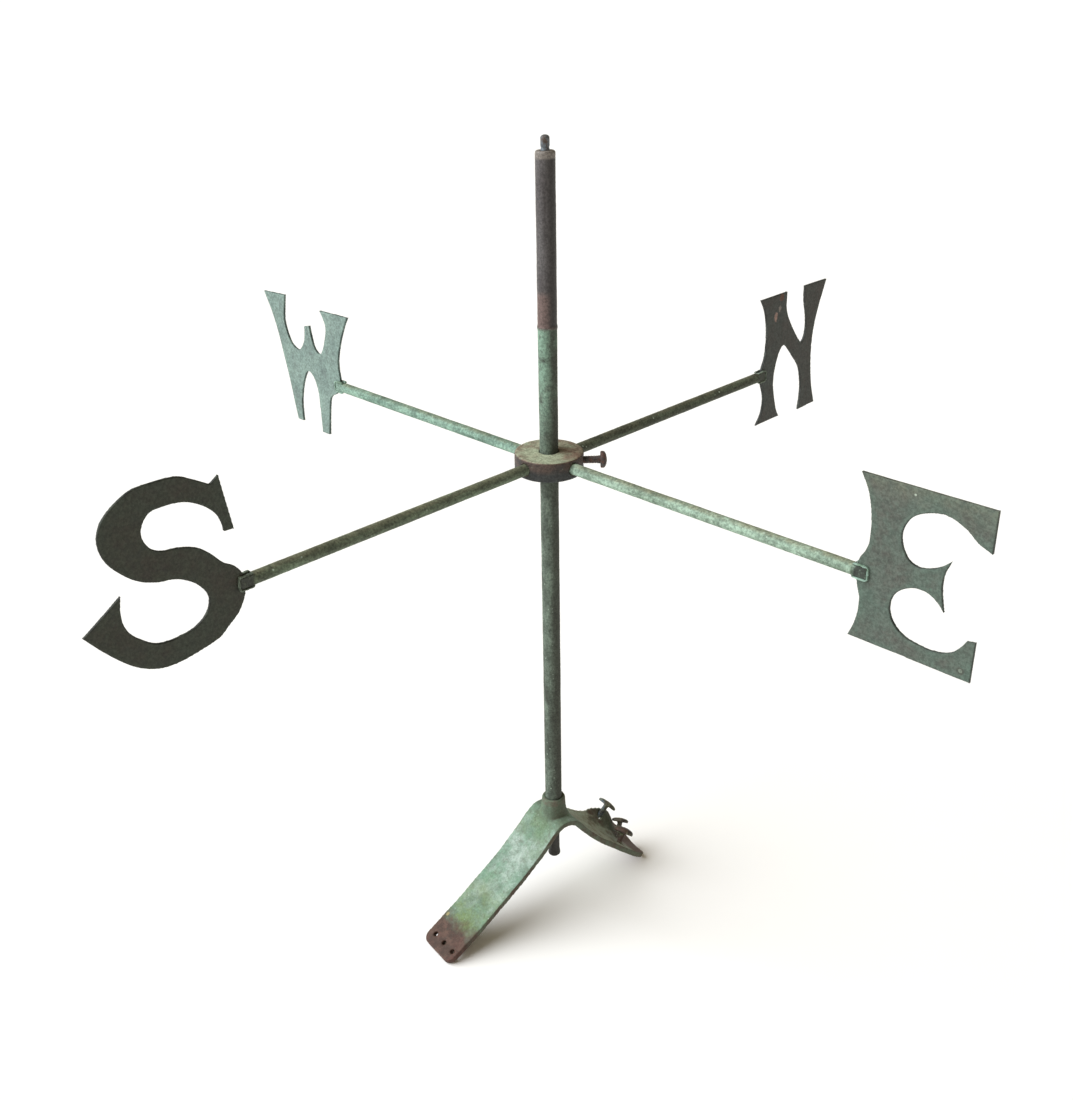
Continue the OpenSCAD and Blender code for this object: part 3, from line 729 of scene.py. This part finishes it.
def mark_rim(piece, thin_axis):
    """Stores each point's distance from the plate's cut edge, in millimetres."""
    mesh = piece.data
    edge = [v.co for v in mesh.vertices if abs(v.normal[thin_axis]) < 0.6]
    tree = kdtree.KDTree(len(edge))
    for index, place in enumerate(edge):
        tree.insert(place, index)
    tree.balance()
    distances = [tree.find(v.co)[2] / MM for v in mesh.vertices]
    attribute = mesh.attributes.new("rim_distance", "FLOAT", "POINT")
    attribute.data.foreach_set("value", distances)


def finish_piece(name, shape, node, body, material):
    """Turns a shape into a shown piece that stands for its CAD node, inside the CAD's box."""
    for vert in shape.verts:
        vert.co = [min(max(place, least), most)
                   for place, least, most in zip(vert.co, cad_low, cad_high)]
    mesh = bpy.data.meshes.new(name)
    shape.to_mesh(mesh)
    shape.free()
    mesh.shade_smooth()
    mesh.materials.append(material)
    piece = bpy.data.objects.new(name, mesh)
    bpy.context.scene.collection.objects.link(piece)
    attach(piece, body)
    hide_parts(node)
    return piece


def saddle_forging():
    shape = fine_copy("saddle", voxel=0.6, passes=4)
    roughen(shape, swell=0.34, grain=0.12, swell_size=14.0, grain_size=3.0)
    finish_piece("saddle_forging", shape, "saddle", "stand", saddle_finish)


def mast_rod():
    shape = fine_copy("mast", voxel=0.7, passes=2)
    roughen(shape, swell=0.12, grain=0.07, swell_size=16.0, grain_size=2.4, inward=True)
    finish_piece("mast_rod", shape, "mast", "stand", mast_finish)


def bearing_pin():
    shape = fine_copy("pivot_pin", voxel=0.3, passes=2)
    roughen(shape, swell=0.05, grain=0.02, swell_size=6.0, grain_size=1.6)
    finish_piece("bearing_pin", shape, "pivot_pin", "stand", pin_finish)


def hub_block():
    shape = fine_copy("hub", voxel=0.6, passes=3)
    roughen(shape, swell=0.16, grain=0.09, swell_size=9.0, grain_size=2.4, inward=True)
    finish_piece("hub_block", shape, "hub", "directional", hub_finish)


def clamp_screw():
    shape = fine_copy("set_screw", voxel=0.25, passes=2)
    direction = Vector((math.cos(SET_SCREW_ANGLE), math.sin(SET_SCREW_ANGLE), 0))
    foot = direction * SET_SCREW_END + Vector((0, 0, HUB_MIDDLE))
    cut_thread(shape, foot, direction, SET_SCREW_THREAD, SET_SCREW_RADIUS, SET_SCREW_PITCH,
               THREAD_DEPTH)
    finish_piece("clamp_screw", shape, "set_screw", "set_screw", set_screw_finish)


def roof_screws():
    for joint in frame["joints"]:
        if not joint["name"].startswith("roof_screw"):
            continue
        node = joint["child"]
        shape = fine_copy(node, voxel=0.3, passes=2)
        axis = Vector(joint["axis"]).normalized()
        places = [vert.co.copy() for vert in shape.verts]
        top = max(place.dot(axis) for place in places)
        near_top = [place for place in places if place.dot(axis) > top - ROOF_HEAD_SLICE]
        centre = sum(near_top, Vector()) / len(near_top)
        head = [place for place in places
                if (place - centre).cross(axis).length > ROOF_HEAD_RIM]
        under_head = min(place.dot(axis) for place in head)
        tip = min(place.dot(axis) for place in places)
        foot = centre + axis * (tip + ROOF_SCREW_POINT - centre.dot(axis))
        roughen(shape, swell=0.14, grain=0.06, swell_size=5.0, grain_size=1.6, inward=True)
        cut_thread(shape, foot, axis, under_head - tip - ROOF_SCREW_POINT, ROOF_SCREW_RADIUS,
                   ROOF_SCREW_PITCH, THREAD_DEPTH)
        finish_piece(node + "_worn", shape, node, node, roof_screw_finishes[node])


def rods():
    # the north and south rods have finishes with painted shade
    for side, slot in (("north", "arm_dark"), ("east", "arm_verdigris"),
                       ("south", "arm_dark"), ("west", "arm_verdigris")):
        shape = fine_copy("arm_" + side, voxel=0.55, passes=2)
        roughen(shape, swell=0.1, grain=0.06, swell_size=14.0, grain_size=2.2, inward=True)
        finish_piece(side + "_rod", shape, "arm_" + side, "directional", arm_finishes[side])


def braze_rims():
    # north and south braze take the copy with painted shade
    for side, material in (("north", braze_painted_shade), ("east", braze_light),
                           ("south", braze_painted_shade), ("west", braze_light)):
        shape = fine_copy("braze_" + side, voxel=0.3, passes=4)
        roughen(shape, swell=0.3, grain=0.14, swell_size=3.2, grain_size=1.3)
        finish_piece(side + "_braze", shape, "braze_" + side, "directional", material)


def letter_plates():
    for letter, thin_axis in (("n", 0), ("e", 1), ("s", 0), ("w", 1)):
        shape = fine_copy("letter_" + letter, voxel=0.5, passes=3)
        roughen(shape, swell=0.16, grain=0.04, swell_size=22.0, grain_size=3.0)
        piece = finish_piece("plate_" + letter, shape, "letter_" + letter, "directional",
                             letter_finishes[letter])
        mark_rim(piece, thin_axis)


saddle_forging()
mast_rod()
bearing_pin()
hub_block()
clamp_screw()
roof_screws()
rods()
braze_rims()
letter_plates()


# ---- Floor, light and camera ----


def pale_floor():
    shape = bmesh.new()
    bmesh.ops.create_grid(shape, x_segments=2, y_segments=2, size=60.0)
    mesh = bpy.data.meshes.new("floor")
    shape.to_mesh(mesh)
    shape.free()
    floor = bpy.data.objects.new("floor", mesh)
    bpy.context.scene.collection.objects.link(floor)
    material = bpy.data.materials.new("pale_floor")
    material.use_nodes = True
    shader = material.node_tree.nodes["Principled BSDF"]
    shader.inputs["Base Color"].default_value = (0.955, 0.95, 0.935, 1.0)
    shader.inputs["Roughness"].default_value = 0.9
    shader.inputs["Specular IOR Level"].default_value = 0.1
    mesh.materials.append(material)


def studio_light():
    sun = bpy.data.lights.new("window_light", "SUN")
    sun.energy = 4.7
    sun.angle = math.radians(66)
    sun.color = (0.93, 0.96, 1.0)
    lamp = bpy.data.objects.new("window_light", sun)
    toward = Vector((-0.45, -0.62, 0.64))
    lamp.rotation_euler = toward.to_track_quat("Z", "Y").to_euler()
    bpy.context.scene.collection.objects.link(lamp)
    world = bpy.data.worlds.new("room")
    world.use_nodes = True
    glow = world.node_tree.nodes["Background"]
    glow.inputs["Color"].default_value = (1.0, 0.86, 0.62, 1.0)
    glow.inputs["Strength"].default_value = 0.29
    bpy.context.scene.world = world


def camera():
    lens = bpy.data.cameras.new("camera")
    lens.sensor_width = 36.0
    lens.lens = FOCAL_LENGTH
    lens.clip_end = 100.0
    viewer = bpy.data.objects.new("camera", lens)
    heading = Matrix.Rotation(math.radians(CAMERA_HEADING), 4, "Z")
    tilt = Matrix.Rotation(math.radians(90 - CAMERA_DOWN), 4, "X")
    roll = Matrix.Rotation(math.radians(CAMERA_ROLL), 4, "Z")
    viewer.matrix_world = Matrix.Translation(CAMERA_PLACE) @ heading @ tilt @ roll
    bpy.context.scene.collection.objects.link(viewer)
    bpy.context.scene.camera = viewer


pale_floor()
studio_light()
camera()
bpy.context.scene.view_settings.view_transform = "Standard"
